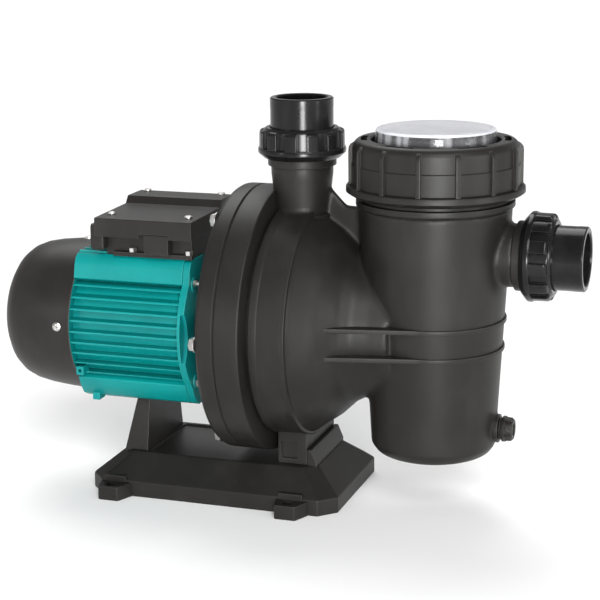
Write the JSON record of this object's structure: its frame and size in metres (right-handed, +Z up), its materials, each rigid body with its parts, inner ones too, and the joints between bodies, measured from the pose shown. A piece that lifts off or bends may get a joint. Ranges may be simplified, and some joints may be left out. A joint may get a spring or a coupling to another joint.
{
  "type": "pool pump",
  "caption": "Pool pump with clear-lidded strainer pot, flanged volute, union sockets, finned motor and moulded base.",
  "frame": {"origin": "bottom centre of the bounding box, on the floor under the shaft", "axes": "+X along the shaft towards the suction union, +Z up"},
  "size_m": [0.5989, 0.266, 0.3985],
  "materials": {
    "wet_plastic": "satin",
    "union_plastic": "gloss",
    "cover_plastic": "satin",
    "motor_paint": "gloss",
    "clear_lid": "gloss",
    "seal_rubber": "matte",
    "zinc_steel": "satin",
    "shaft_steel": "satin",
    "brass": "satin",
    "ceramic": "satin",
    "core_steel": "matte",
    "basket_plastic": "satin",
    "impeller_plastic": "satin"
  },
  "bodies": {
    "pump": {"pump_body": "wet_plastic", "seal_plate": "wet_plastic", "base": "wet_plastic", "cable_gland_body": "wet_plastic", "run_capacitor": "union_plastic", "fan_cover": "cover_plastic", "terminal_box_base": "cover_plastic", "terminal_box_cover": "cover_plastic", "motor_housing": "motor_paint", "motor_front_shield": "motor_paint", "motor_rear_shield": "motor_paint", "casing_o_ring": "seal_rubber", "terminal_box_gasket": "seal_rubber", "casing_bolt_1": "zinc_steel", "casing_bolt_2": "zinc_steel", "casing_bolt_3": "zinc_steel", "casing_bolt_4": "zinc_steel", "casing_bolt_5": "zinc_steel", "casing_bolt_6": "zinc_steel", "tie_rod_1": "zinc_steel", "tie_rod_2": "zinc_steel", "tie_rod_3": "zinc_steel", "tie_rod_4": "zinc_steel", "fan_cover_screw_1": "zinc_steel", "fan_cover_screw_2": "zinc_steel", "fan_cover_screw_3": "zinc_steel", "fan_cover_screw_4": "zinc_steel", "terminal_cover_screw_1": "zinc_steel", "terminal_cover_screw_2": "zinc_steel", "terminal_cover_screw_3": "zinc_steel", "terminal_cover_screw_4": "zinc_steel", "front_bearing_outer": "shaft_steel", "rear_bearing_outer": "shaft_steel", "terminal_block": "brass", "seal_seat": "ceramic", "wound_stator": "core_steel", "diffuser": "impeller_plastic"},
    "lid_set": {"lid": "clear_lid", "lid_o_ring": "seal_rubber"},
    "lock_ring": {"lid_lock_ring": "wet_plastic"},
    "basket": {"strainer_basket": "basket_plastic"},
    "rotor": {"motor_shaft": "shaft_steel", "rotor_core": "core_steel", "front_bearing_inner": "shaft_steel", "rear_bearing_inner": "shaft_steel", "cooling_fan": "impeller_plastic", "impeller": "impeller_plastic", "impeller_nut": "brass", "seal_head": "seal_rubber", "seal_spring": "shaft_steel"},
    "suction_tail": {"suction_union_tail": "union_plastic", "suction_union_o_ring": "seal_rubber"},
    "suction_nut": {"suction_union_nut": "union_plastic"},
    "discharge_tail": {"discharge_union_tail": "union_plastic", "discharge_union_o_ring": "seal_rubber"},
    "discharge_nut": {"discharge_union_nut": "union_plastic"},
    "drain_seal": {"drain_plug_o_ring": "seal_rubber"},
    "drain_plug_body": {"drain_plug": "wet_plastic"},
    "gland_nut": {"cable_gland_nut": "wet_plastic"}
  },
  "joints": [
    {"name": "rotor_spin", "type": "hinge", "parent": "pump", "child": "rotor", "pos_m": [-0.0075, 0, 0.167], "axis": [1, 0, 0], "continuous": true},
    {"name": "lid_lift", "type": "slide", "parent": "pump", "child": "lid_set", "axis": [0, 0, 1], "range_m": [0, 0.4]},
    {"name": "ring_turn", "type": "hinge", "parent": "lid_set", "child": "lock_ring", "pos_m": [0.1525, 0, 0.309], "axis": [0, 0, 1], "range_deg": [0, 270]},
    {"name": "basket_lift", "type": "slide", "parent": "pump", "child": "basket", "axis": [0, 0, 1], "range_m": [0, 0.288]},
    {"name": "suction_tail_slide", "type": "slide", "parent": "pump", "child": "suction_tail", "axis": [1, 0, 0], "range_m": [0, 0.012]},
    {"name": "suction_nut_turn", "type": "hinge", "parent": "suction_tail", "child": "suction_nut", "pos_m": [0.241, 0, 0.254], "axis": [1, 0, 0], "range_deg": [0, 1440]},
    {"name": "discharge_tail_slide", "type": "slide", "parent": "pump", "child": "discharge_tail", "axis": [0, 0, 1], "range_m": [0, 0.012]},
    {"name": "discharge_nut_turn", "type": "hinge", "parent": "discharge_tail", "child": "discharge_nut", "pos_m": [0.0185, 0, 0.34], "axis": [0, 0, 1], "range_deg": [0, 1440]},
    {"name": "drain_seal_slide", "type": "slide", "parent": "pump", "child": "drain_seal", "axis": [1, 0, 0], "range_m": [0, 0.015]},
    {"name": "drain_plug_turn", "type": "hinge", "parent": "drain_seal", "child": "drain_plug_body", "pos_m": [0.2218, 0, 0.081], "axis": [1, 0, 0], "range_deg": [0, 1800]},
    {"name": "gland_nut_turn", "type": "hinge", "parent": "pump", "child": "gland_nut", "pos_m": [-0.1315, 0.0543, 0.25], "axis": [0, 1, 0], "range_deg": [0, 720]}
  ],
  "couplings": [
    {"joint": "basket_lift", "follows": "lid_lift", "ratio": 0.72},
    {"joint": "suction_tail_slide", "follows": "suction_nut_turn", "m_per_rad": 0.00047746},
    {"joint": "discharge_tail_slide", "follows": "discharge_nut_turn", "m_per_rad": 0.00047746},
    {"joint": "drain_seal_slide", "follows": "drain_plug_turn", "m_per_rad": 0.00047746}
  ]
}
